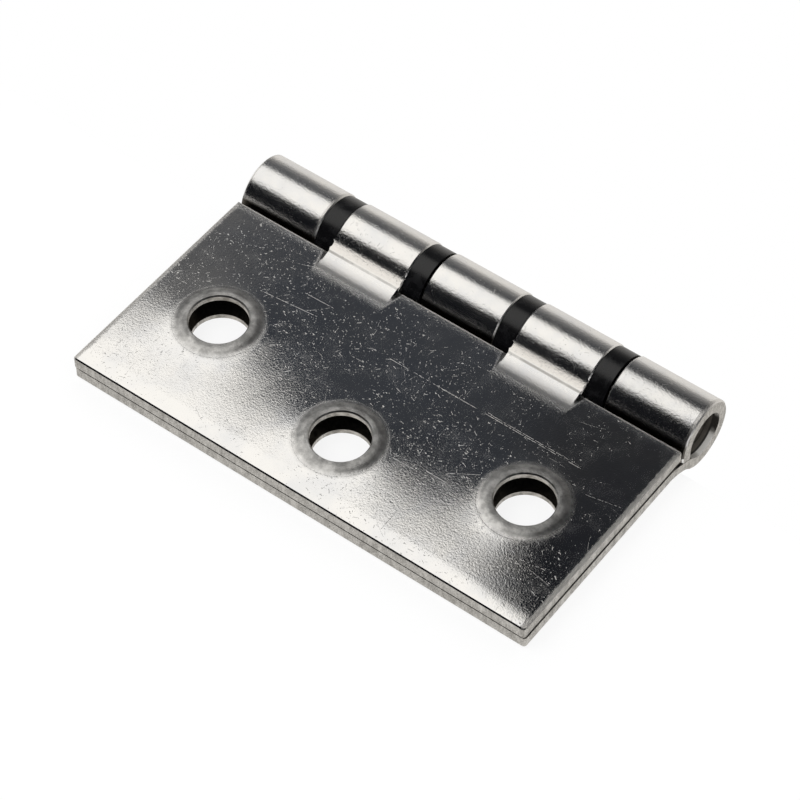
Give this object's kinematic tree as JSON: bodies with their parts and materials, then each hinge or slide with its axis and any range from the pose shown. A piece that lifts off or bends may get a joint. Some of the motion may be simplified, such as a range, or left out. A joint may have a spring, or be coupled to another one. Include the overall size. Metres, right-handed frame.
{
  "type": "butt hinge",
  "caption": "Polished steel butt hinge with rolled interleaved knuckles, a hidden pin, black plastic washers between the knuckles and countersunk screw holes in a zigzag.",
  "frame": {"origin": "middle of the lower leaf's outer, mounting face", "axes": "+X along the pin, +Y from the free edges to the knuckles, +Z from the lower leaf to the upper"},
  "size_m": [0.0501, 0.031, 0.007],
  "materials": {
    "leaf_steel": "bright polished plate with fine scratches and matte cut edges",
    "pin_steel": "dull cut end",
    "washer_plastic": "black moulded plastic with a soft sheen"
  },
  "bodies": {
    "lower_leaf": {"three_knuckle_leaf": "leaf_steel", "hinge_pin": "pin_steel"},
    "upper_leaf": {"two_knuckle_leaf": "leaf_steel"},
    "washer_1_body": {"washer_1": "washer_plastic"},
    "washer_2_body": {"washer_2": "washer_plastic"},
    "washer_3_body": {"washer_3": "washer_plastic"},
    "washer_4_body": {"washer_4": "washer_plastic"}
  },
  "joints": [
    {"name": "leaf_swing", "type": "hinge", "parent": "lower_leaf", "child": "upper_leaf", "pos_m": [0, 0.01561, 0.00126], "axis": [-1, 0, 0], "range_deg": [0, 270]},
    {"name": "washer_1_spin", "type": "hinge", "parent": "lower_leaf", "child": "washer_1_body", "pos_m": [0, 0.01561, 0.00126], "axis": [1, 0, 0], "continuous": true},
    {"name": "washer_2_spin", "type": "hinge", "parent": "lower_leaf", "child": "washer_2_body", "pos_m": [0, 0.01561, 0.00126], "axis": [1, 0, 0], "continuous": true},
    {"name": "washer_3_spin", "type": "hinge", "parent": "lower_leaf", "child": "washer_3_body", "pos_m": [0, 0.01561, 0.00126], "axis": [1, 0, 0], "continuous": true},
    {"name": "washer_4_spin", "type": "hinge", "parent": "lower_leaf", "child": "washer_4_body", "pos_m": [0, 0.01561, 0.00126], "axis": [1, 0, 0], "continuous": true}
  ]
}
